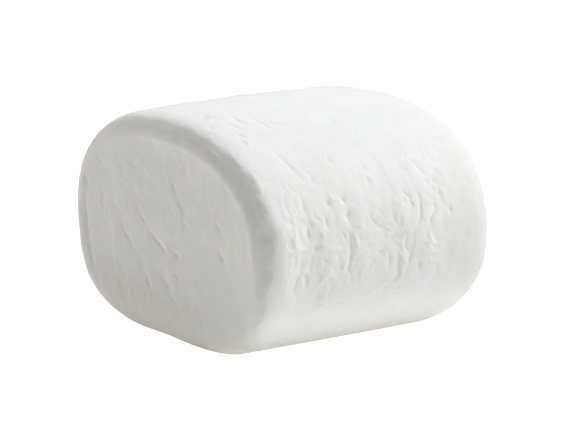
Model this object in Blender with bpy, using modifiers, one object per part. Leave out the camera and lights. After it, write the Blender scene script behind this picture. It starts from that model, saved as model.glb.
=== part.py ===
# A large white marshmallow lying on its flat side: an extruded rope of D-shaped section, cut to length.
# The cut faces look along -Y (near) and +Y (far), the crown is up, and the flat underside rests at Z = 0.
# The whole sweet is one solid. Units are metres.

import math

import bmesh
import bpy

# Driving dimensions of the section, measured from the widest line of the rope
RIGHT_HALF_WIDTH = 0.01865
LEFT_HALF_WIDTH = 0.01560
CROWN_HEIGHT = 0.01205  # up to the top of the crown
BELLY_DEPTH = 0.01140  # down to where the round belly would end
FLAT_DEPTH = 0.01056  # down to the underside, pressed flat by the tray

# Roundness of each quarter of the section: 2 is an ellipse, more is squarer
CROWN_RIGHT_POWER = 2.35
CROWN_LEFT_POWER = 2.16
BELLY_LEFT_POWER = 3.28
BELLY_RIGHT_POWER = 2.32

# Driving dimensions along the rope
BODY_LENGTH = 0.02770
BARREL_SWELL = 0.018  # share by which the middle is fuller than the ends
WIDTH_TAPER = 0.009  # share by which the far end is wider than the middle
HEIGHT_TAPER = 0.021  # share by which the far end is taller than the middle
FACE_LEAN_ACROSS = 0.025  # slope of the near cut along X
FACE_LEAN_UP = -0.054  # slope of the near cut along Z

# The rounded rims between the side and the two cut faces
NEAR_RIM_RADIUS = 0.00214
NEAR_RIM_UNDER_RIGHT = 0.00250
NEAR_RIM_UNDER_LEFT = 0.00435
FAR_RIM_RADIUS = 0.00325

# Each cut face is dished inside a low lip
DISH_DEPTH = 0.0001
DISH_INNER_SHARE = 0.78  # the dish is level out to this share of the face
DISH_OUTER_SHARE = 1.0

# The underside arches a little between two feet at the near rim
ARCH_HEIGHT = 0.00038
ARCH_CENTRE_X = -0.0014
ARCH_HALF_WIDTH = 0.00525
ARCH_START = 0.25  # share of the way from the middle to the near end where the arch begins

# A soft dent where the side meets the near rim
DENT_CENTRE = (0.0182, -0.0108, 0.0006)
DENT_REACH = (0.0030, 0.0019, 0.0034)
DENT_DEPTH = 0.00055

# Slow unevenness of the side: (height, waves per metre along X, Y and Z, phase)
SWELLS = (
    (0.00006, (310.0, 420.0, 260.0), 0.4),
    (0.00005, (-540.0, 250.0, 480.0), 2.1),
    (0.00004, (230.0, -680.0, 590.0), 4.0),
)

# The cage is a cube cut into a grid, whose edge ring becomes the middle of each rim
CAGE_CUTS = 11
CAGE_ALLOWANCE = 0.00005  # the cage stands proud of the rounded surface by this much
FACE_SHARE = 1 / 2  # share of the grid on a cut face that is inside the rim
STRAIGHT_SHARE = 1 / 2  # share of the grid along the side that is between the rims

MARSHMALLOW_COLOUR = (0.92, 0.915, 0.895, 1.0)
MARSHMALLOW_ROUGHNESS = 0.85


def clear_scene():
    for obj in list(bpy.data.objects):
        bpy.data.objects.remove(obj)


def smooth_step(value, low, high):
    share = min(max((value - low) / (high - low), 0.0), 1.0)
    return share * share * (3 - 2 * share)


def outline(across, up):
    """Point and outward normal of the section, from a point on the unit circle."""
    width = CAGE_ALLOWANCE + (RIGHT_HALF_WIDTH if across >= 0 else LEFT_HALF_WIDTH)
    height = CAGE_ALLOWANCE + (CROWN_HEIGHT if up >= 0 else BELLY_DEPTH)
    if up >= 0:
        power = CROWN_RIGHT_POWER if across >= 0 else CROWN_LEFT_POWER
    else:
        power = BELLY_RIGHT_POWER if across >= 0 else BELLY_LEFT_POWER
    reach = (abs(across) ** power + abs(up) ** power) ** (-1 / power)
    normal_x = math.copysign(abs(reach * across) ** (power - 1) / width, across)
    normal_z = math.copysign(abs(reach * up) ** (power - 1) / height, up)
    length = math.hypot(normal_x, normal_z)
    return reach * across * width, reach * up * height, normal_x / length, normal_z / length


def rim_radius(x, z, far):
    """Radius of the rim beside the section's point (x, z)."""
    if far:
        return FAR_RIM_RADIUS
    under = min(max(-z / BELLY_DEPTH, 0.0), 1.0) ** 2
    right = min(max(x / RIGHT_HALF_WIDTH, 0.0), 1.0)
    radius_under = NEAR_RIM_UNDER_RIGHT * right + NEAR_RIM_UNDER_LEFT * (1 - right)
    return NEAR_RIM_RADIUS * (1 - under) + radius_under * under


def sweep(across, along, up):
    """Carries a point of the cube from -1 to 1 onto the straight rope with rounded ends."""
    disc_x = across * math.sqrt(1 - up * up / 2)
    disc_z = up * math.sqrt(1 - across * across / 2)
    reach = math.hypot(disc_x, disc_z)
    if reach < 1e-9:
        disc_x = 1.0
    x, z, normal_x, normal_z = outline(disc_x / max(reach, 1e-9), disc_z / max(reach, 1e-9))
    far = along > 0
    on_face = abs(along) > 1 - 1e-6
    radius = rim_radius(x, z, far)
    half_turn = math.pi / 4
    if on_face:
        turn = half_turn * max(0.0, (reach - FACE_SHARE) / (1 - FACE_SHARE))
    else:
        turn = 2 * half_turn - half_turn * max(0.0, (abs(along) - STRAIGHT_SHARE) / (1 - STRAIGHT_SHARE))
    inset = radius * (1 - math.sin(turn))
    x, z = x - normal_x * inset, z - normal_z * inset
    half_length = BODY_LENGTH / 2 + CAGE_ALLOWANCE
    if on_face or abs(along) > STRAIGHT_SHARE:
        y = math.copysign(half_length - radius * (1 - math.cos(turn)), along)
    else:
        near_end = -half_length + rim_radius(x, z, False)
        far_end = half_length - rim_radius(x, z, True)
        share = (along / STRAIGHT_SHARE + 1) / 2
        y = near_end * (1 - share) + far_end * share
    if on_face:
        face_share = min(reach / FACE_SHARE, 1.0)
        x, z = x * face_share, z * face_share
        dish = DISH_DEPTH * (1 - smooth_step(face_share, DISH_INNER_SHARE, DISH_OUTER_SHARE))
        y -= math.copysign(dish, along)
    return x, y, z


def settle(x, y, z):
    """Swells, leans, dents and flattens a point of the straight rope, as the soft sweet did on its tray."""
    along = 2 * y / BODY_LENGTH
    swell = 1 + BARREL_SWELL * (1 - along * along)
    x *= swell * (1 + WIDTH_TAPER * along)
    z = (z + FLAT_DEPTH) * swell * (1 + HEIGHT_TAPER * along) - FLAT_DEPTH
    for height, waves, phase in SWELLS:
        lift = height * math.sin(waves[0] * x + waves[1] * y + waves[2] * z + phase)
        x += lift * x / RIGHT_HALF_WIDTH
        z += lift * z / CROWN_HEIGHT
    offset = [(value - centre) / reach for value, centre, reach in zip((x, y, z), DENT_CENTRE, DENT_REACH)]
    x -= DENT_DEPTH * math.exp(-sum(value * value for value in offset))
    nearness = max(0.0, (-along - ARCH_START) / (1 - ARCH_START)) ** 2
    arch = ARCH_HEIGHT * nearness * math.exp(-(((x - ARCH_CENTRE_X) / ARCH_HALF_WIDTH) ** 2))
    z = max(z, -FLAT_DEPTH + arch)
    near_share = min(max((1 - along) / 2, 0.0), 1.0)
    y += near_share * (FACE_LEAN_ACROSS * x + FACE_LEAN_UP * z)
    return x, y, z + FLAT_DEPTH


def centre_on_footprint(cage):
    """Puts the origin under the middle of the body's box."""
    for axis in (0, 1):
        values = [vertex.co[axis] for vertex in cage.verts]
        middle = (min(values) + max(values)) / 2
        for vertex in cage.verts:
            vertex.co[axis] -= middle


def make_material(name, colour, roughness):
    material = bpy.data.materials.new(name)
    material.use_nodes = True
    shader = material.node_tree.nodes["Principled BSDF"]
    shader.inputs["Base Color"].default_value = colour
    shader.inputs["Roughness"].default_value = roughness
    shader.inputs["Metallic"].default_value = 0.0
    return material


def make_marshmallow(collection):
    cage = bmesh.new()
    bmesh.ops.create_cube(cage, size=2)
    bmesh.ops.subdivide_edges(cage, edges=cage.edges, cuts=CAGE_CUTS, use_grid_fill=True)
    for vertex in cage.verts:
        vertex.co = settle(*sweep(*vertex.co))
    centre_on_footprint(cage)
    mesh = bpy.data.meshes.new("marshmallow")
    cage.to_mesh(mesh)
    cage.free()
    mesh.shade_smooth()
    body = bpy.data.objects.new("marshmallow", mesh)
    collection.objects.link(body)
    body.data.materials.append(make_material("marshmallow", MARSHMALLOW_COLOUR, MARSHMALLOW_ROUGHNESS))
    rounding = body.modifiers.new("Rounding", "SUBSURF")
    rounding.levels = 1
    rounding.render_levels = 1
    return body


def main():
    clear_scene()
    collection = bpy.data.collections.new("marshmallow")
    bpy.context.scene.collection.children.link(collection)
    make_marshmallow(collection)


main()
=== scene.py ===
import bpy
import math
from types import SimpleNamespace
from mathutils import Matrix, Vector


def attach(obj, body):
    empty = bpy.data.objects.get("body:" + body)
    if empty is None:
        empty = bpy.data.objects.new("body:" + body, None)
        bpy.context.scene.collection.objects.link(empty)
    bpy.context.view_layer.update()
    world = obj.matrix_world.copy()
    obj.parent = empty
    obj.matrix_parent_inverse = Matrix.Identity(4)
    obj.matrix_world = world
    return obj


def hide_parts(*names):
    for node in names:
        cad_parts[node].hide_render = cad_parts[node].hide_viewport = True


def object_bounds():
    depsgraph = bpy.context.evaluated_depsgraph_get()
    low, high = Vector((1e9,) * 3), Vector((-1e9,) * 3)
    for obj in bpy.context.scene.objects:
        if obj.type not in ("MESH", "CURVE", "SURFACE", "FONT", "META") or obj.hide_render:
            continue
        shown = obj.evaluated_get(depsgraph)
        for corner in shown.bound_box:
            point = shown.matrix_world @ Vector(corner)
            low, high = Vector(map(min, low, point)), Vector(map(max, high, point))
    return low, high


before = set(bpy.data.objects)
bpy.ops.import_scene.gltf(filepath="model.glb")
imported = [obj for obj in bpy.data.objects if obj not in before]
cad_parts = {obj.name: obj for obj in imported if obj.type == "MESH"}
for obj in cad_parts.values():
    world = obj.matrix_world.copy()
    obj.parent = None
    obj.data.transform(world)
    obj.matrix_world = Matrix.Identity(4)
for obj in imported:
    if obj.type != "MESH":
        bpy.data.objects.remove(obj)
solidLow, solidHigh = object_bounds()  # the CAD solid's box
print("frame loaded")

millimetres = 1000.0  # in a metre
white = (1.0, 1.0, 1.0, 1.0)
black = (0.0, 0.0, 0.0, 1.0)


# expressions on node sockets, for geometry and for shaders
class Wire:
    def __init__(self, tree, socket):
        self.tree = tree
        self.socket = socket

    def beside(self, name):
        return Wire(self.tree, self.socket.node.outputs[name])  # another output of the same node

    def math(self, operation, *others, clamp=False):
        return addMath(self.tree, operation, self, *others, clamp=clamp)

    def __add__(self, other):
        return self.math("ADD", other)

    def __radd__(self, other):
        return self.math("ADD", other)

    def __sub__(self, other):
        return self.math("SUBTRACT", other)

    def __rsub__(self, other):
        return addMath(self.tree, "SUBTRACT", other, self)

    def __mul__(self, other):
        return self.math("MULTIPLY", other)

    def __rmul__(self, other):
        return self.math("MULTIPLY", other)

    def __truediv__(self, other):
        return self.math("DIVIDE", other)

    def __rtruediv__(self, other):
        return addMath(self.tree, "DIVIDE", other, self)

    def __pow__(self, other):
        return self.math("POWER", other)

    def __neg__(self):
        return self.math("MULTIPLY", -1.0)

    def __abs__(self):
        return self.math("ABSOLUTE")

    def __gt__(self, other):
        return self.math("GREATER_THAN", other)

    def __lt__(self, other):
        return self.math("LESS_THAN", other)


def addNode(tree, kind, settings=None, output=0, **inputs):
    node = tree.nodes.new(kind)
    for name, value in (settings or {}).items():
        setattr(node, name, value)
    for name, value in inputs.items():
        # i0, i1 ... count the sockets, any other name has its spaces left out
        if name[0] == "i" and name[1:].isdigit():
            socket = node.inputs[int(name[1:])]
        else:
            socket = next(s for s in node.inputs if s.enabled and s.name.replace(" ", "") == name)
        if isinstance(value, Wire):
            tree.links.new(value.socket, socket)
        else:
            socket.default_value = value
    outputs = [s for s in node.outputs if s.enabled]
    if not outputs:
        return None
    if isinstance(output, str):
        return Wire(tree, next(s for s in outputs if s.name == output))
    return Wire(tree, outputs[output])


def addMath(tree, operation, *values, clamp=False):
    inputs = {f"i{place}": value for place, value in enumerate(values)}
    return addNode(tree, "ShaderNodeMath", {"operation": operation, "use_clamp": clamp}, **inputs)


def least(a, b):
    return addMath(a.tree, "MINIMUM", a, b)


def most(a, b):
    return addMath(a.tree, "MAXIMUM", a, b)


def root(a):
    return a.math("SQRT")


def signOf(a):
    return a.math("SIGN")


def held(a):
    return a.math("ADD", 0.0, clamp=True)  # between nought and one


def bell(a):
    return (-(a * a)).math("EXPONENT")


def fold(a, width):
    return (-(abs(a) / width)).math("EXPONENT")  # a sharp line with soft shoulders


def mix(a, b, share):
    return addNode(share.tree, "ShaderNodeMix", {"data_type": "FLOAT", "clamp_factor": True}, "Result",
                   Factor=share, A=a, B=b)


def mixColour(share, a, b):
    return addNode(share.tree, "ShaderNodeMix", {"data_type": "RGBA", "clamp_factor": True}, "Result",
                   Factor=share, A=a, B=b)


def ease(value, low, high, toLow=0.0, toHigh=1.0):
    return addNode(value.tree, "ShaderNodeMapRange", {"interpolation_type": "SMOOTHSTEP"},
                   Value=value, FromMin=low, FromMax=high, ToMin=toLow, ToMax=toHigh)


def vector(tree, x, y, z):
    return addNode(tree, "ShaderNodeCombineXYZ", X=x, Y=y, Z=z)


def parts(wire):
    split = addNode(wire.tree, "ShaderNodeSeparateXYZ", Vector=wire)
    return [split.beside(axis) for axis in "XYZ"]


def vectorMath(operation, a, b=None, scale=None):
    inputs = {"i0": a}
    if b is not None:
        inputs["i1"] = b
    if scale is not None:
        inputs["Scale"] = scale
    return addNode(a.tree, "ShaderNodeVectorMath", {"operation": operation}, **inputs)


def plus(a, b):
    return vectorMath("ADD", a, b)


def minus(a, b):
    return vectorMath("SUBTRACT", a, b)


def times(a, b):
    return vectorMath("MULTIPLY", a, b)


def scaled(a, scale):
    return vectorMath("SCALE", a, scale=scale)


def noise(place, scale, detail=2.0, roughness=0.5, output=0):
    return addNode(place.tree, "ShaderNodeTexNoise", {"noise_dimensions": "3D"}, output,
                   Vector=place, Scale=scale, Detail=detail, Roughness=roughness)


def noiseVector(place, scale, detail):
    return minus(noise(place, scale, detail, output="Color"), vector(place.tree, 0.5, 0.5, 0.5))


def storeNumber(shape, name, value):
    return addNode(shape.tree, "GeometryNodeStoreNamedAttribute", {"data_type": "FLOAT", "domain": "POINT"},
                   Geometry=shape, Name=name, Value=value)


def towards(azimuth, elevation):
    # the direction of a camera or a light, seen from the sweet; azimuth 0 is in front of the near face
    turn = math.radians(azimuth)
    rise = math.radians(elevation)
    return Vector((math.sin(turn) * math.cos(rise), -math.cos(turn) * math.cos(rise), math.sin(rise)))


# the camera stands low, about a hand's length away
cameraValues = {
    "azimuth": 54.63,
    "elevation": 10.61,
    "distance": 0.1689,
    "lens": 107.4,
    "rollAxis": (-0.00156, 0.00031, 0.01053),  # the middle of the roll, which the camera circles
    "slideRight": 0.001315,
    "slideUp": -0.00007,
}


def makeCamera(values):
    back = towards(values["azimuth"], values["elevation"])
    azimuth = math.radians(values["azimuth"])
    right = Vector((math.cos(azimuth), math.sin(azimuth), 0.0))
    up = back.cross(right)
    middle = Vector(values["rollAxis"])
    aim = middle + right * values["slideRight"] + up * values["slideUp"]
    data = bpy.data.cameras.new("camera")
    data.lens = values["lens"]
    data.sensor_width = 36.0
    data.clip_start = 0.005
    data.clip_end = 20.0
    camera = bpy.data.objects.new("camera", data)
    camera.location = middle + back * values["distance"]
    camera.rotation_euler = (aim - camera.location).to_track_quat("-Z", "Y").to_euler()
    bpy.context.scene.collection.objects.link(camera)
    bpy.context.scene.camera = camera


makeCamera(cameraValues)
print("camera placed")


# the body: a rope of D-shaped section, cut to length, lying on its flat side
bodyValues = {
    "Right Half Width": 0.01865,
    "Left Half Width": 0.01559,
    "Crown Height": 0.01205,
    "Belly Depth": 0.01137,
    "Flat Depth": 0.01053,
    "Crown Right Power": 2.345,  # 2 is an ellipse, more is squarer
    "Crown Left Power": 2.159,
    "Belly Left Power": 3.281,
    "Belly Right Power": 2.322,
    "Length": 0.02767,
    "Near Rim": 0.00214,
    "Near Rim Under Right": 0.00249,
    "Near Rim Under Left": 0.00435,
    "Far Rim": 0.00325,
    "Barrel Swell": 0.018,
    "Width Taper": 0.009,
    "Height Taper": 0.021,
    "Lean Across": 0.025,
    "Lean Up": -0.054,
    "Arch Height": 0.00038,
    "Arch Centre": -0.00142,
    "Arch Half Width": 0.00525,
    "Arch Softness": 0.0003,
    "Dish Depth": 0.0001,
}
# the grid that the body is drawn on, and how much of it the thinning keeps
bodyGrid = {
    "around": 250,
    "along": 330,
    "faceShare": 0.80,  # share of the grid on a cut face that is inside the rim
    "straightShare": 0.80,  # share of the grid along the side that is between the rims
    "keptShare": 0.214,
    "thinningRoom": 0.00001,  # the thinning moves a few points outwards, by less than this
}


def groupInputs(tree):
    group = addNode(tree, "NodeGroupInput").socket.node
    return {socket.name: Wire(tree, socket) for socket in group.outputs if socket.name}


def treeInputs(tree, values):
    for name, value in values.items():
        socket = tree.interface.new_socket(name, in_out="INPUT", socket_type="NodeSocketFloat")
        socket.default_value = value
    for name, kind in (("Box Low", "NodeSocketVector"), ("Box High", "NodeSocketVector"),
                       ("Material", "NodeSocketMaterial")):
        tree.interface.new_socket(name, in_out="INPUT", socket_type=kind)
    tree.interface.new_socket("Geometry", in_out="OUTPUT", socket_type="NodeSocketGeometry")
    return groupInputs(tree)


def sectionPoint(size, across, up):
    # a point of the section and its outward normal, from a point on the unit circle
    right = across > 0.0
    crown = up > 0.0
    width = mix(size["Left Half Width"], size["Right Half Width"], right)
    height = mix(size["Belly Depth"], size["Crown Height"], crown)
    power = mix(mix(size["Belly Left Power"], size["Belly Right Power"], right),
                mix(size["Crown Left Power"], size["Crown Right Power"], right), crown)
    reach = (abs(across) ** power + abs(up) ** power) ** (-1.0 / power)
    normalX = signOf(across) * abs(reach * across) ** (power - 1.0) / width
    normalZ = signOf(up) * abs(reach * up) ** (power - 1.0) / height
    length = root(normalX * normalX + normalZ * normalZ)
    return reach * across * width, reach * up * height, normalX / length, normalZ / length


def nearRimRadius(size, x, z):
    under = held(-(z / size["Belly Depth"])) ** 2.0
    right = held(x / size["Right Half Width"])
    radiusUnder = mix(size["Near Rim Under Left"], size["Near Rim Under Right"], right)
    return mix(size["Near Rim"], radiusUnder, under)


def straightRope(tree, size, grid):
    # carries each point of a cube from -1 to 1 onto the straight rope with rounded ends
    tiny = 0.000001
    across, along, up = parts(addNode(tree, "GeometryNodeInputPosition"))
    discX = across * root(1.0 - up * up * 0.5)
    discZ = up * root(1.0 - across * across * 0.5)
    reach = root(discX * discX + discZ * discZ)
    x, z, normalX, normalZ = sectionPoint(size, (discX + (reach < tiny)) / most(reach, tiny),
                                          discZ / most(reach, tiny))
    onFace = abs(along) > 1.0 - 10 * tiny
    nearRadius = nearRimRadius(size, x, z)
    radius = mix(nearRadius, size["Far Rim"], along > 0.0)

    # half of each rim's quarter turn belongs to the face and half to the side
    eighth = math.pi / 4
    faceTurn = eighth * most((reach - grid["faceShare"]) / (1.0 - grid["faceShare"]), 0.0)
    pastStraight = most((abs(along) - grid["straightShare"]) / (1.0 - grid["straightShare"]), 0.0)
    turn = mix(2 * eighth - eighth * pastStraight, faceTurn, onFace)
    inset = radius * (1.0 - turn.math("SINE"))
    x = x - normalX * inset
    z = z - normalZ * inset
    half = size["Length"] * 0.5
    rimY = signOf(along) * (half - radius * (1.0 - turn.math("COSINE")))
    straightY = mix(nearRadius - half, half - size["Far Rim"], (along / grid["straightShare"] + 1.0) * 0.5)
    y = mix(straightY, rimY, most(onFace, abs(along) > grid["straightShare"]))

    # the cut faces, each dished a little inside its rim
    faceShare = mix(1.0, least(reach / grid["faceShare"], 1.0), onFace)
    fromRim = mix(turn * radius, (faceShare - 1.0) * root(x * x + z * z), faceShare < 1.0) * millimetres
    y = y - signOf(along) * onFace * size["Dish Depth"] * ease(faceShare, 1.0, 0.8)
    return x * faceShare, y, z * faceShare, fromRim


def settled(tree, size, x, y, z):
    # swell, taper, arch and lean, as the soft sweet settled on its tray
    half = size["Length"] * 0.5
    place = y / half
    swell = 1.0 + size["Barrel Swell"] * (1.0 - place * place)
    x = x * swell * (1.0 + size["Width Taper"] * place)
    z = (z + size["Flat Depth"]) * swell * (1.0 + size["Height Taper"] * place)
    nearness = most(-place, 0.0) ** 3.0
    arch = size["Arch Height"] * nearness * bell((x - size["Arch Centre"]) / size["Arch Half Width"])
    z = addMath(tree, "SMOOTH_MAX", z, arch, size["Arch Softness"])
    nearShare = held((1.0 - place) * 0.5)
    y = y + nearShare * (size["Lean Across"] * x + size["Lean Up"] * (z - size["Flat Depth"]))
    return vector(tree, x, y, z)


def smoothBody(tree, size, grid):
    cube = addNode(tree, "GeometryNodeMeshCube", output="Mesh", Size=(2.0, 2.0, 2.0),
                   VerticesX=grid["around"], VerticesY=grid["along"], VerticesZ=grid["around"])
    x, y, z, fromRim = straightRope(tree, size, grid)
    shape = storeNumber(cube, "fromRim", fromRim)  # millimetres outwards from where the flat of a face ends
    return addNode(tree, "GeometryNodeSetPosition", Geometry=shape, Position=settled(tree, size, x, y, z))


def fitToBox(shape, low, high):
    # stretches the body a little, to fill the box from low to high exactly
    boxLow = addNode(shape.tree, "GeometryNodeBoundBox", output="Min", Geometry=shape)
    boxHigh = boxLow.beside("Max")
    position = addNode(shape.tree, "GeometryNodeInputPosition")
    share = vectorMath("DIVIDE", minus(position, boxLow), minus(boxHigh, boxLow))
    fitted = plus(low, times(share, minus(high, low)))
    return addNode(shape.tree, "GeometryNodeSetPosition", Geometry=shape, Position=fitted)


# the skin: crumpled where the rope shrank as it dried, smooth near the tray and at the rims; lengths here
# and in all that draws the skin are in millimetres
skinValues = {
    "Lump Height": 0.10,
    "Fold Depth": 0.10,
    "Fold Spacing": 2.4,
    "Fold Width": 0.16,
    "Wrinkle Depth": 0.06,
    "Wrinkle Spacing": 1.1,
    "Wrinkle Width": 0.13,
    "Plate Height": 0.10,
    "Plate Softness": 0.5,
    "Swell Height": 0.55,
    "Pit Depth": 0.07,
    "Stroke Depth": 0.08,
    "Near Cut": 13.84,  # how far the near cut is from the middle, halfway up
    "Cut Middle": 10.5,  # and how high halfway up is
    "Near Side Start": 2.3,  # where the side starts, behind the near cut
    "Far Side End": 10.6,
    "Rim Edge Height": 0.13,
    "Lip Height": 0.07,
    "Groove Depth": 0.13,
    "Nick Depth": 0.22,
    "Crease Depth": 1.0,  # a share of each crease's own depth
    "Seed": 3.0,  # another number gives other folds, but the listed creases stay
}
# the deepest creases on the side, the top and the cut face laid flat, in millimetres:
# width, depth, then the bends from end to end; a depth below nought is a ridge
sideCreases = (  # bends are Y, Z
    (0.24, 0.14, ((-8.6, 16.3), (-8.6, 15.2), (-8.5, 14.5))),
    (0.22, 0.20, ((-8.4, 14.4), (-8.5, 13.3), (-8.6, 12.7), (-8.5, 12.2))),
    (0.24, 0.14, ((-8.3, 11.1), (-8.4, 10.4), (-8.5, 9.7))),
    (0.26, 0.14, ((-8.0, 11.9), (-7.9, 11.6), (-8.0, 11.3))),
    (0.23, 0.18, ((-9.4, 11.6), (-9.5, 10.0), (-9.9, 9.0), (-10.1, 8.1), (-9.6, 7.3), (-9.6, 5.8))),
    (0.23, 0.09, ((-9.9, 11.4), (-10.2, 10.7), (-10.6, 9.9))),
    (0.24, 0.06, ((-8.6, 9.8), (-8.9, 9.2), (-8.9, 8.5), (-8.7, 7.8))),
    (0.26, 0.20, ((-6.1, 15.6), (-6.0, 15.3), (-6.1, 15.0))),
    (0.26, 0.22, ((-6.4, 14.3), (-6.5, 13.7), (-6.5, 13.1))),
    (0.19, 0.08, ((-7.7, 15.2), (-7.7, 14.3), (-6.9, 13.6), (-6.5, 13.3))),
    (0.26, 0.22, ((-4.8, 15.7), (-4.4, 15.5), (-4.0, 15.1))),
    (0.26, 0.24, ((-4.0, 14.7), (-4.1, 14.1), (-4.2, 13.5))),
    (0.24, 0.21, ((-4.3, 12.7), (-4.2, 11.5), (-4.1, 10.2), (-4.4, 9.4), (-4.1, 8.8), (-3.7, 8.0))),
    (0.19, 0.09, ((-5.3, 13.2), (-4.7, 12.4), (-4.5, 11.5), (-4.5, 10.4))),
    (0.26, 0.12, ((-3.2, 12.3), (-3.1, 12.0), (-3.2, 11.7))),
    (0.26, 0.13, ((-1.6, 13.9), (-1.2, 13.1), (-0.3, 12.4))),
    (0.26, 0.18, ((-1.0, 10.8), (-0.7, 10.5), (-0.5, 10.2))),
    (0.20, 0.12, ((-1.2, 9.9), (-1.9, 9.4), (-1.95, 8.3))),
    (0.23, 0.17, ((0.3, 10.5), (0.4, 9.6), (0.5, 8.7))),
    (0.24, 0.19, ((1.3, 10.1), (1.5, 9.0), (1.7, 8.0), (1.2, 7.4))),
    (0.26, 0.16, ((0.5, 7.3), (0.4, 6.9), (0.2, 6.4))),
    (0.23, 0.21, ((2.3, 11.9), (2.2, 10.6), (2.9, 9.8), (2.7, 9.0), (2.3, 8.3))),
    (0.25, 0.11, ((2.1, 16.1), (3.0, 15.2), (3.3, 14.4), (3.0, 13.7))),
    (0.24, 0.09, ((0.7, 14.0), (1.1, 13.3), (1.3, 12.7))),
    (0.23, 0.21, ((4.1, 15.8), (4.3, 14.5), (4.3, 13.9), (4.0, 13.0), (3.5, 12.3))),
    (0.23, 0.21, ((5.8, 14.9), (6.0, 13.6), (5.4, 12.8), (4.9, 11.9), (4.8, 11.2))),
    (0.26, 0.13, ((4.9, 9.9), (4.85, 9.5), (4.8, 9.2))),
    (0.26, 0.13, ((5.5, 16.7), (5.6, 16.3), (5.6, 15.8))),
    (0.24, 0.10, ((5.9, 16.5), (6.5, 16.2), (7.0, 15.9))),
    (0.26, 0.08, ((6.7, 15.5), (6.9, 14.9), (7.1, 14.4))),
    (0.22, 0.11, ((4.4, 18.6), (5.0, 17.9), (5.4, 17.1), (6.1, 16.5))),
    (0.24, 0.11, ((7.6, 13.9), (8.0, 13.5), (8.4, 13.1))),
    (0.26, 0.15, ((4.0, 9.2), (4.0, 8.8), (4.0, 8.3))),
    (0.26, 0.16, ((-6.5, 8.9), (-6.4, 8.5), (-6.4, 8.0))),
    (0.24, 0.16, ((-7.0, 10.9), (-7.0, 10.4), (-6.9, 9.9))),
    (0.26, 0.13, ((-5.3, 9.8), (-5.2, 9.5), (-5.0, 9.1))),
    (0.26, 0.14, ((-7.4, 7.5), (-7.3, 7.2), (-7.3, 6.8))),
    (0.24, 0.14, ((-6.5, 7.6), (-6.3, 7.2), (-6.0, 6.7))),
    (0.24, 0.12, ((-5.3, 6.8), (-4.9, 6.4), (-4.3, 5.9))),
    (0.26, 0.15, ((-1.1, 17.1), (-0.9, 16.8), (-0.6, 16.5))),
    (0.30, 0.09, ((-0.8, 19.1), (-0.9, 17.9), (0.3, 17.2))),
    (0.26, 0.13, ((-9.0, 19.8), (-8.3, 18.6), (-7.7, 17.4))),
    (0.30, 0.07, ((-7.2, 18.6), (-6.9, 17.9), (-6.7, 17.2))),
    (0.23, -0.12, ((-9.9, 14.8), (-10.0, 13.3), (-10.0, 12.2), (-9.9, 11.3))),
    (0.20, -0.12, ((-5.6, 16.2), (-5.4, 15.7), (-4.6, 15.6), (-4.6, 15.1))),
    (0.23, -0.13, ((-3.8, 12.8), (-3.6, 12.0), (-3.4, 11.4), (-3.5, 10.6))),
    (0.23, -0.07, ((4.9, 11.3), (5.3, 10.9), (4.9, 10.2), (4.7, 9.6))),
    (0.23, -0.10, ((6.9, 15.9), (7.2, 15.1), (7.5, 14.3))),
    (0.26, -0.08, ((7.3, 11.3), (7.4, 10.9), (7.4, 10.4))),
)
topCreases = (  # bends are X, Y
    (0.25, 0.25, ((6.3, -12.0), (6.6, -11.9), (6.9, -11.8))),
    (0.18, 0.20, ((4.5, -8.4), (5.6, -8.6), (6.7, -8.5), (7.9, -8.0))),
    (0.14, 0.15, ((6.0, -7.2), (7.5, -7.0), (9.1, -6.9))),
    (0.14, 0.14, ((6.1, -10.2), (7.1, -9.9), (8.1, -9.6))),
    (0.18, 0.09, ((8.0, -11.6), (8.8, -11.1), (9.4, -10.7))),
    (0.14, 0.12, ((8.4, -10.4), (9.0, -10.4), (9.7, -10.3))),
    (0.13, 0.13, ((3.3, -10.7), (4.3, -10.2), (5.3, -9.7))),
    (0.13, 0.12, ((7.3, -6.5), (8.0, -5.8), (8.7, -5.0))),
    (0.20, 0.13, ((9.2, -0.2), (9.3, 0.0), (9.5, 0.2))),
    (0.18, -0.05, ((8.2, -10.0), (9.3, -9.9), (10.7, -10.5), (11.8, -11.2))),
)
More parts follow.
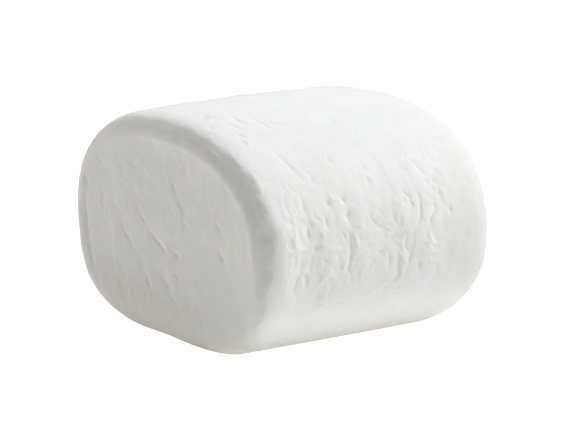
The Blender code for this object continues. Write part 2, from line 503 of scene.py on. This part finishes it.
faceCreases = (  # bends are X, Z
    (0.28, 0.13, ((-7.4, 11.8), (-6.6, 9.9), (-5.1, 8.4))),
    (0.26, 0.14, ((-7.9, 7.2), (-7.5, 5.9), (-7.2, 4.9))),
    (0.26, 0.15, ((-3.8, 12.7), (-3.2, 12.0), (-2.4, 11.2))),
    (0.36, 0.23, ((-2.0, 10.9), (-1.2, 10.2), (-0.3, 9.6), (0.6, 9.0))),
    (0.32, 0.20, ((1.4, 9.6), (2.4, 9.1), (3.1, 8.9))),
    (0.34, 0.17, ((-1.0, 7.0), (0.2, 6.0), (0.9, 5.2))),
    (0.30, 0.12, ((1.0, 5.3), (1.5, 4.4), (2.9, 3.3))),
    (0.24, 0.15, ((-3.1, 6.3), (-2.9, 5.6), (-2.6, 4.8))),
    (0.24, 0.14, ((2.0, 7.4), (2.3, 7.0), (2.5, 6.5))),
    (0.24, 0.15, ((5.4, 7.8), (5.6, 7.3), (5.7, 6.7))),
    (0.24, 0.17, ((9.5, 11.0), (9.8, 10.2), (10.1, 9.2))),
    (0.22, 0.12, ((3.8, 13.0), (4.1, 12.4), (4.2, 11.6))),
    (0.22, 0.09, ((8.1, 14.8), (8.3, 14.3), (8.4, 13.8))),
    (0.22, 0.13, ((9.1, 13.7), (9.6, 13.0), (9.9, 12.2))),
    (0.22, 0.12, ((0.6, 16.9), (1.0, 16.4), (1.3, 15.9))),
    (0.22, 0.12, ((2.0, 16.4), (2.6, 15.7), (3.0, 15.0))),
    (0.22, 0.12, ((3.2, 14.5), (3.8, 13.9), (4.3, 13.2))),
    (0.22, 0.09, ((-7.1, 15.7), (-6.8, 15.1), (-6.4, 14.3))),
    (0.22, 0.08, ((-4.2, 16.2), (-4.0, 15.8), (-3.9, 15.3))),
    (0.40, 0.16, ((-12.9, 15.2), (-13.9, 12.0), (-13.8, 8.0), (-12.3, 3.8))),
)


def rowDistance(value, spacing):
    return abs((value / spacing).math("FRACT") - 0.5) * spacing  # to the nearest of evenly spaced rows


def creaseGroup():
    # how deep one straight length of a crease is at a place; its depth changes from end to end
    tree = bpy.data.node_groups.new("crease", "GeometryNodeTree")
    for name in ("Place", "Start", "End"):
        tree.interface.new_socket(name, in_out="INPUT", socket_type="NodeSocketVector")
    for name in ("Width", "Start Depth", "End Depth"):
        tree.interface.new_socket(name, in_out="INPUT", socket_type="NodeSocketFloat")
    tree.interface.new_socket("Depth", in_out="OUTPUT", socket_type="NodeSocketFloat")
    given = groupInputs(tree)
    along = minus(given["End"], given["Start"])
    fromStart = minus(given["Place"], given["Start"])
    travelled = held(vectorMath("DOT_PRODUCT", fromStart, along) / vectorMath("DOT_PRODUCT", along, along))
    distance = vectorMath("LENGTH", minus(fromStart, scaled(along, travelled)))
    depth = fold(distance, given["Width"]) * mix(given["Start Depth"], given["End Depth"], travelled)
    addNode(tree, "NodeGroupOutput", Depth=depth)
    return tree


def creaseDepth(place, creases, group):
    # every crease is deepest in its middle and runs out at its ends
    endShare = 0.15
    deepest = None
    highest = None
    for width, depth, bends in creases:
        steps = len(bends) - 1
        depths = [depth * (endShare + (1.0 - endShare) * math.sin(math.pi * step / steps))
                  for step in range(len(bends))]
        for start, end, startDepth, endDepth in zip(bends, bends[1:], depths, depths[1:]):
            found = addNode(place.tree, "GeometryNodeGroup", {"node_tree": group}, Place=place,
                            Start=(*start, 0.0), End=(*end, 0.0), Width=width,
                            StartDepth=startDepth, EndDepth=endDepth)
            if depth > 0:
                deepest = found if deepest is None else most(deepest, found)
            else:
                highest = found if highest is None else least(highest, found)
    return deepest if highest is None else deepest + highest


def skinPlaces(tree, size):
    # what all the relief is drawn from: the place in millimetres, the way the surface faces, and noise
    place = scaled(addNode(tree, "GeometryNodeInputPosition"), millimetres)
    x, y, z = parts(place)
    normalX, normalY, normalZ = parts(addNode(tree, "GeometryNodeInputNormal"))
    seeded = plus(place, vector(tree, size["Seed"] * 17.3, size["Seed"] * -9.1, size["Seed"] * 5.7))
    swirl = noiseVector(seeded, 0.4, 1.0)
    zigzagHeight = 0.75
    zigzag = (z + parts(swirl)[0] * 5.0).math("PINGPONG", zigzagHeight) - zigzagHeight / 2
    return SimpleNamespace(tree=tree, place=place, x=x, y=y, z=z, normalX=normalX, normalY=normalY,
                           normalZ=normalZ, seeded=seeded, swirl=swirl, ragged=noiseVector(seeded, 1.1, 3.0),
                           zigzag=zigzag)


def reliefAreas(at):
    # where each kind of relief lies, and how strongly; nought is none
    side = ease(abs(at.normalY), 0.75, 0.3)
    face = ease(abs(at.normalY), 0.8, 0.97)
    wander = noise(at.seeded, 0.35, 1.0) - 0.5
    wall = ease(abs(at.normalX) + wander * 0.5, 0.45, 0.9) * ease(at.z + wander * 4.0, 4.0, 7.0)
    span = ease(at.y + wander * 2.0, -11.4, -10.4) * ease(at.y + wander * 5.0, 10.0, 6.5)
    calm = 1.0 - ease(at.z, 12.5, 16.0, 0.0, 0.5) * ease(at.x, 2.0, 6.0)
    swelling = wall * span * side * calm
    crumpled = swelling * ease(at.x, 2.0, 6.0, 1.0, 0.25)  # the listed creases do the rest
    above = ease(at.z, 2.0, 5.0)
    between = ease(at.y, -12.6, -11.6) * ease(at.y, 13.0, 10.5)
    faint = side * above * between * ease(at.y, -10.0, -5.0, 1.5, 1.0)
    return SimpleNamespace(side=side, face=face, swelling=swelling, crumpled=crumpled, above=above,
                           faint=faint)


def foldRelief(at, areas, size):
    # folds run round the rope in short zigzags, with plates between them and swells under them
    _, swirlY, _ = parts(at.swirl)
    _, raggedY, raggedZ = parts(at.ragged)
    drift = swirlY * 2.2 + raggedY * 0.8 + at.zigzag * 0.6
    row = rowDistance(at.y + drift + size["Seed"], size["Fold Spacing"])
    fineRow = rowDistance(at.y + drift * 1.2 + raggedZ + size["Seed"] * 1.7, size["Wrinkle Spacing"])
    patch = ease(noise(plus(at.seeded, vector(at.tree, 5.0, 50.0, 9.0)), 0.38, 1.0), 0.46, 0.62)
    finePatch = ease(noise(plus(at.seeded, vector(at.tree, 80.0, 5.0, 9.0)), 0.42, 1.0), 0.46, 0.62)
    folds = fold(row, size["Fold Width"]) * patch * size["Fold Depth"] * areas.crumpled
    wrinkles = fold(fineRow, size["Wrinkle Width"]) * finePatch * size["Wrinkle Depth"]
    wrinkles = wrinkles * (areas.crumpled + areas.faint * 0.25)
    plates = fold(row, size["Plate Softness"]) * patch * size["Plate Height"] * areas.crumpled

    warp = plus(scaled(at.swirl, 1.4), scaled(at.ragged, 0.8))
    warp = plus(warp, vector(at.tree, 0.0, at.zigzag * 0.8, 0.0))
    drawnOut = times(plus(at.seeded, warp), vector(at.tree, 0.22, 1.0, 0.22))
    swells = noise(plus(drawnOut, vector(at.tree, 3.0, 70.0, 3.0)), 0.45, 1.0) - 0.5
    return folds + wrinkles, swells * size["Swell Height"] * areas.swelling - plates


def pits(at, areas, size):
    # where bubbles burst
    speck = times(plus(at.seeded, scaled(at.swirl, 0.8)), vector(at.tree, 0.55, 1.0, 0.55))
    distance = addNode(at.tree, "ShaderNodeTexVoronoi", output="Distance", Vector=speck, Scale=0.55)
    chosen = parts(distance.beside("Color"))[0] > 0.62
    return ease(distance, 0.22, 0.05) * chosen * size["Pit Depth"] * areas.faint


def lumps(at, areas, size):
    height = (noise(at.seeded, 0.13, 1.0) - 0.5) * 2.0 + (noise(at.seeded, 0.42, 2.0) - 0.5) * 1.1
    return height * size["Lump Height"] * areas.above * ease(at.y, 7.0, 9.0, 1.0, 2.2)


def bladeMarks(at, areas, size):
    # the drag marks of the blade on the cut faces: slanting strokes, slow waves, and grain, stronger low down
    slantCosine = 0.82  # of about 35 degrees
    slantSine = 0.58
    across = at.x * slantCosine + at.z * slantSine
    along = at.z * slantCosine - at.x * slantSine
    slant = plus(vector(at.tree, across, at.y, along * 0.32), scaled(at.swirl, 1.5))
    strokes = noise(slant, 0.75, 1.0) - 0.5
    dragged = fold(strokes, 0.05) * ease(noise(at.seeded, 0.55, 1.0), 0.54, 0.66) * 0.35
    waves = (noise(slant, 0.6, 2.0) - 0.5) * 0.8 + (noise(at.seeded, 0.3, 1.0) - 0.5) * 1.2
    grained = times(plus(at.seeded, at.swirl), vector(at.tree, 1.0, 1.0, 0.6))
    grain = (noise(grained, 1.0, 2.0) - 0.5) * ease(at.z, 8.0, 4.0, 1.8, 2.8)
    return (dragged - waves - grain) * size["Stroke Depth"] * areas.face


def rimEdge(at, size):
    # the cut leaves a crisp, ragged edge half way round each rim, flared out on the low right
    millimetresPerDegree = 0.038
    frontWidth = 0.41
    flared = ease(at.x, 13.0, 16.5) * ease(at.z, 16.0, 12.0) * (at.y < 0.0)
    degreesTurned = addMath(at.tree, "ARCCOSINE", abs(at.normalY)) * (180.0 / math.pi)
    behindCut = at.y + size["Near Cut"] - at.x * size["Lean Across"]
    behindCut = behindCut - (at.z - size["Cut Middle"]) * size["Lean Up"]
    behindRim = most(mix(behindCut - size["Near Side Start"], size["Far Side End"] - at.y, at.y > 0.0), 0.0)
    edgeTurn = ease(at.x, 8.0, 13.0, 44.0, 50.0) + ease(at.x, 10.0, 14.0) * ease(at.z, 11.0, 14.0) * 7.0
    sinceEdge = (degreesTurned - edgeTurn) * millimetresPerDegree + behindRim
    sinceEdge = sinceEdge + (noise(at.seeded, 0.45, 3.0) - 0.5) * 1.1
    sinceEdge = sinceEdge + (noise(at.seeded, 1.3, 2.0) - 0.5) * 0.7
    backWidth = mix(0.6, 1.7, flared)
    shape = bell(least(sinceEdge, 0.0) / frontWidth) * bell(most(sinceEdge, 0.0) / backWidth)
    strength = mix(0.5 + noise(at.seeded, 0.6, 2.0), 1.9, flared * 0.9)
    fading = ease(at.z, 1.0, mix(8.0, 4.0, flared)) * ease(at.x, -12.0, -2.0, 0.3, 1.0)
    return shape * strength * fading * size["Rim Edge Height"]


def nearLip(at, size):
    # a low lip where the near face ends, and a groove outside it
    lipPlace = 0.05
    lipWidth = 0.5
    groovePlace = 1.1
    grooveWidth = 0.42
    fromRim = addNode(at.tree, "GeometryNodeInputNamedAttribute", {"data_type": "FLOAT"}, Name="fromRim")
    fromRim = fromRim + (noise(at.seeded, 0.9, 3.0) - 0.5) * 0.5
    lip = bell((fromRim - lipPlace) / lipWidth) * size["Lip Height"]
    groove = bell((fromRim - groovePlace) / grooveWidth) * size["Groove Depth"]
    return (lip - groove) * ease(at.x, -9.0, 2.0, 0.35, 1.0) * ease(at.z, 6.0, 9.5) * (at.y < 0.0)


def placedCreases(at, areas, size):
    # the listed creases, made a little unsteady
    group = creaseGroup()
    unsteady = plus(scaled(at.ragged, 0.35), vector(at.tree, 0.0, at.zigzag * 0.15, 0.0))
    bentX, bentY, bentZ = parts(plus(at.place, unsteady))
    faceX, _, faceZ = parts(plus(at.place, scaled(at.ragged, 0.9)))
    onSide = creaseDepth(vector(at.tree, bentY, bentZ, 0.0), sideCreases, group)
    onTop = creaseDepth(vector(at.tree, bentX, bentY, 0.0), topCreases, group)
    onFace = creaseDepth(vector(at.tree, faceX, faceZ, 0.0), faceCreases, group)
    onSide = onSide * areas.side * ease(at.x, 4.0, 6.0)
    onTop = onTop * areas.side * ease(at.normalZ, 0.4, 0.6)
    onFace = onFace * ease(at.normalY, -0.5, -0.8)
    return (onSide + onTop + onFace) * size["Crease Depth"]


def nick(at, size):
    # one small nick in the skin beside the near rim
    width = 0.75
    distance = vectorMath("LENGTH", minus(at.place, vector(at.tree, 16.3, -12.5, 13.2)))
    return bell(distance / width) * size["Nick Depth"]


# painted warm contact shade: darker and warmer along the edge that touches the tray, and on the skin turned
# under just above it
def paintedContactShade(at):
    # the skin that lay on the tray, clearest along its edge
    touching = ease(at.z, 0.55, 0.25) * 0.8
    turnedUnder = ease(at.normalZ, -0.87, -0.94) * ease(at.z, 1.7, 0.8) * 0.5
    return most(touching, turnedUnder) * ease(at.z, 0.0, 0.12, 0.3, 1.0)


def addSkin(shape, size):
    # the depth of the creases and the underside near the tray are kept for the material, which paints shade
    # into both
    at = skinPlaces(shape.tree, size)
    areas = reliefAreas(at)
    folds, swells = foldRelief(at, areas, size)
    hollow = folds + pits(at, areas, size) + placedCreases(at, areas, size)
    height = lumps(at, areas, size) - hollow + swells - bladeMarks(at, areas, size)
    height = height + rimEdge(at, size) + nearLip(at, size) - nick(at, size)
    shape = storeNumber(shape, "hollow", hollow)
    shape = storeNumber(shape, "contactShade", paintedContactShade(at))
    offset = scaled(addNode(shape.tree, "GeometryNodeInputNormal"), height / millimetres)
    return addNode(shape.tree, "GeometryNodeSetPosition", Geometry=shape, Offset=offset)


def bodyTree(values, grid):
    tree = bpy.data.node_groups.new("marshmallowShape", "GeometryNodeTree")
    size = treeInputs(tree, values)
    shape = smoothBody(tree, size, grid)
    shape = fitToBox(shape, size["Box Low"], size["Box High"])
    shape = addSkin(shape, size)
    shape = fitToBox(shape, size["Box Low"], size["Box High"])
    shape = addNode(tree, "GeometryNodeRemoveAttribute", Geometry=shape, Name="fromRim")
    shape = addNode(tree, "GeometryNodeSetShadeSmooth", Geometry=shape)
    shape = addNode(tree, "GeometryNodeRealizeInstances", Geometry=shape)
    shape = addNode(tree, "GeometryNodeSetMaterial", Geometry=shape, Material=size["Material"])
    addNode(tree, "NodeGroupOutput", Geometry=shape)
    return tree


def finishedMesh(name, tree, values, keptShare):
    # runs the tree on an empty mesh and keeps its result as a plain mesh
    starter = bpy.data.objects.new(name + "Starter", bpy.data.meshes.new(name + "Starter"))
    bpy.context.scene.collection.objects.link(starter)
    modifier = starter.modifiers.new("Shape", "NODES")
    modifier.node_group = tree
    for item in tree.interface.items_tree:
        if item.in_out == "INPUT" and item.name in values:
            modifier[item.identifier] = values[item.name]
    thin = starter.modifiers.new("Thin", "DECIMATE")  # keeps the creases, spends little on the plain parts
    thin.ratio = keptShare
    evaluated = starter.evaluated_get(bpy.context.evaluated_depsgraph_get())
    mesh = bpy.data.meshes.new_from_object(evaluated)
    mesh.name = name
    bpy.data.objects.remove(starter)  # and its modifiers with it
    return mesh


# the material: white sugar foam under a dusting of starch, with painted shade in the creases and along the
# base
foamValues = {
    "foam": (0.900, 0.896, 0.882, 1.0),
    "starch": (0.925, 0.922, 0.910, 1.0),  # the dusting, in drifts
    "bare": (0.888, 0.882, 0.862, 1.0),  # where it rubbed off
    "hollow": (0.872, 0.864, 0.840, 1.0),  # painted shade, a little darker and warmer down in the creases
    "hollowDepth": 0.6,  # in millimetres, where that colour is full
    "contactShade": (0.680, 0.610, 0.500, 1.0),  # painted warm contact shade along the base edge
    "smoothest": 0.80,
    "roughest": 0.97,
    "grainHeight": 0.006,  # in millimetres
    "rippleHeight": 0.014,  # in millimetres
    "glowDepth": 0.00025,  # about how far light travels in the foam, in metres
}


def foamMaterial(values):
    material = bpy.data.materials.new("sugarFoam")
    material.use_nodes = True
    tree = material.node_tree
    shader = tree.nodes["Principled BSDF"]
    shader.inputs["Specular IOR Level"].default_value = 0.2
    shader.inputs["Subsurface Weight"].default_value = 1.0
    shader.inputs["Subsurface Radius"].default_value = (1.0, 0.9, 0.8)
    shader.inputs["Subsurface Scale"].default_value = values["glowDepth"]
    place = scaled(addNode(tree, "ShaderNodeTexCoord", output="Object"), millimetres)
    hollow = addNode(tree, "ShaderNodeAttribute", {"attribute_name": "hollow"}, output="Fac")
    contactShade = addNode(tree, "ShaderNodeAttribute", {"attribute_name": "contactShade"}, output="Fac")

    drifts = ease(noise(place, 0.16, 3.0), 0.40, 0.62)
    rubbed = ease(noise(plus(place, vector(tree, 40.0, 3.0, 9.0)), 0.45, 3.0), 0.52, 0.70)
    grain = noise(place, 3.2, 2.0, 0.6)
    colour = mixColour(drifts * 0.8 + (grain - 0.5) * 0.5, values["foam"], values["starch"])
    colour = mixColour(rubbed * 0.7, colour, values["bare"])
    # painted shade, darker and warmer the deeper the crease
    colour = mixColour(hollow / values["hollowDepth"], colour, values["hollow"])
    # painted warm contact shade along the base
    colour = mixColour(contactShade, colour, values["contactShade"])
    tree.links.new(colour.socket, shader.inputs["Base Color"])

    rough = mix(values["smoothest"], values["roughest"], drifts * 0.5 + grain * 0.5)
    tree.links.new(rough.socket, shader.inputs["Roughness"])

    ripples = noise(times(place, vector(tree, 0.35, 1.0, 0.35)), 1.7, 3.0)  # drawn out round the rope
    height = (grain * values["grainHeight"] + ripples * values["rippleHeight"]) / millimetres
    bump = addNode(tree, "ShaderNodeBump", Height=height, Strength=1.0, Distance=1.0)
    tree.links.new(bump.socket, shader.inputs["Normal"])
    return material


def makeBody():
    values = {**bodyValues, **skinValues}
    tree = bodyTree(values, bodyGrid)
    room = bodyGrid["thinningRoom"]
    values["Box Low"] = solidLow + Vector((room, room, 0.0))
    values["Box High"] = solidHigh - Vector((room, room, room))
    values["Material"] = foamMaterial(foamValues)
    mesh = finishedMesh("marshmallowBody", tree, values, bodyGrid["keptShare"])
    body = bpy.data.objects.new("marshmallowBody", mesh)
    bpy.context.scene.collection.objects.link(body)
    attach(body, "root")
    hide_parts("marshmallow")
    return body


body = makeBody()
print("body made,", len(body.data.polygons), "faces")


# a plain white floor and soft studio light
studioValues = {
    "floorSize": 3.0,
    "floorColour": (0.8, 0.8, 0.8, 1.0),
    "floorGlow": (0.203, 0.203, 0.183, 1.0),  # what the floor sends up at the sweet
    "underGlow": (0.330, 0.325, 0.295, 1.0),  # and what it sends up under the round side
    "stripAcross": (4.0, 7.0, 9.0, 15.0),  # along X, in millimetres: start, full from, full until, end
    "stripAlong": (-14.5, -11.0, 13.0, 17.0),  # the same along Y
    "lights": {
        # name: azimuth, elevation, distance, size, watts, colour
        "key": (150.0, 56.0, 0.5, 0.22, 1.44, (0.97, 1.0, 0.99)),
        "top": (120.0, 76.0, 0.5, 0.25, 0.61, (1.0, 0.85, 0.91)),
        "topLeft": (240.0, 76.0, 0.5, 0.25, 0.41, (0.63, 0.92, 1.0)),
        "right": (110.0, 20.0, 0.5, 0.22, 0.46, (0.98, 1.0, 0.94)),
        "leftHigh": (305.0, 28.0, 0.5, 0.22, 0.62, (1.0, 0.98, 0.87)),
        "leftLow": (290.0, 8.0, 0.5, 0.22, 0.32, (1.0, 0.71, 0.68)),
    },
}


def strip(value, bounds):
    start, full, fullUntil, end = bounds
    return ease(value, start, full) * ease(value, end, fullUntil)


def makeFloor(values):
    half = values["floorSize"] / 2
    mesh = bpy.data.meshes.new("floor")
    corners = [(-half, -half, 0), (half, -half, 0), (half, half, 0), (-half, half, 0)]
    mesh.from_pydata(corners, [], [(0, 1, 2, 3)])
    floor = bpy.data.objects.new("floor", mesh)
    bpy.context.scene.collection.objects.link(floor)
    material = bpy.data.materials.new("paleFloor")
    material.use_nodes = True
    tree = material.node_tree
    shader = tree.nodes["Principled BSDF"]
    shader.inputs["Base Color"].default_value = values["floorColour"]
    shader.inputs["Roughness"].default_value = 1.0
    shader.inputs["Specular IOR Level"].default_value = 0.0
    shader.inputs["Emission Strength"].default_value = 1.0
    x, y, _ = parts(scaled(addNode(tree, "ShaderNodeTexCoord", output="Object"), millimetres))
    under = strip(x, values["stripAcross"]) * strip(y, values["stripAlong"])
    seen = addNode(tree, "ShaderNodeLightPath", output="Is Camera Ray")  # the floor is seen plain white
    glow = mixColour(seen, mixColour(under, values["floorGlow"], values["underGlow"]), white)
    tree.links.new(glow.socket, shader.inputs["Emission Color"])
    mesh.materials.append(material)


def makeWorld():
    # seen white, but without light of its own
    world = bpy.data.worlds.new("studio")
    world.use_nodes = True
    bpy.context.scene.world = world
    tree = world.node_tree
    seen = addNode(tree, "ShaderNodeLightPath", output="Is Camera Ray")
    tree.links.new(mixColour(seen, black, white).socket, tree.nodes["Background"].inputs["Color"])


def makeLights(values):
    middle = (solidLow + solidHigh) / 2
    for name, (azimuth, elevation, distance, size, watts, colour) in values["lights"].items():
        data = bpy.data.lights.new(name, "AREA")
        data.shape = "SQUARE"
        data.size = size
        data.energy = watts
        data.color = colour
        light = bpy.data.objects.new(name, data)
        back = towards(azimuth, elevation)
        light.location = middle + back * distance
        light.rotation_euler = (-back).to_track_quat("-Z", "Y").to_euler()
        bpy.context.scene.collection.objects.link(light)


makeFloor(studioValues)
makeWorld()
makeLights(studioValues)
bpy.context.scene.view_settings.view_transform = "Standard"
print("studio lit")
